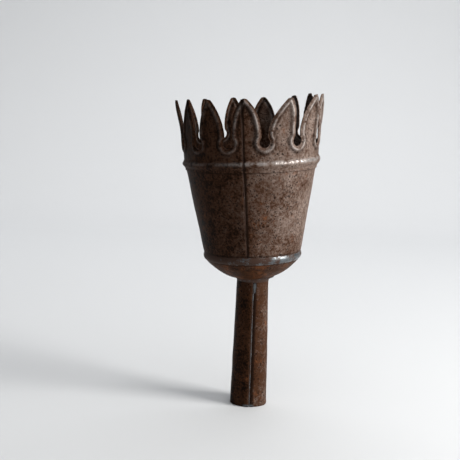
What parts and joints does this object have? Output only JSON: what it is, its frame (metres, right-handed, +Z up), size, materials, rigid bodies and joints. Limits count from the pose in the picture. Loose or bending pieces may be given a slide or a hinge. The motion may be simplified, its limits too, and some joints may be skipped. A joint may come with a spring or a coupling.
{
  "type": "fruit picker head",
  "caption": "Rusted sheet-metal fruit picker head: a cup with a crown of pointed petals and keyhole slots that catch stems, on a tapered socket for a pole.",
  "frame": {"origin": "centre of the socket's mouth, on the plane of its rim", "axes": "+Z up the socket's axis towards the cup; -Y is the front, where the lapped seams are; +X is to the right of that front. The cup leans 3.2 degrees towards -X."},
  "size_m": [0.1367, 0.136, 0.3015],
  "materials": {
    "crown_tinplate": "rusted tinned sheet iron, matt",
    "cone_tinplate": "rusted tinned sheet iron, matt",
    "bottom_tinplate": "rusted tinned sheet iron, matt",
    "socket_tinplate": "rusted tinned sheet iron, matt",
    "solder": "dull grey solder, brushed by hand"
  },
  "bodies": {
    "root": {"crown_band": "crown_tinplate", "cup_cone": "cone_tinplate", "cup_bottom": "bottom_tinplate", "pole_socket": "socket_tinplate", "crown_solder": "solder", "foot_solder": "solder", "neck_solder": "solder", "flange_solder": "solder", "crown_seam_solder": "solder", "cone_seam_solder": "solder", "socket_seam_solder": "solder"}
  },
  "joints": []
}
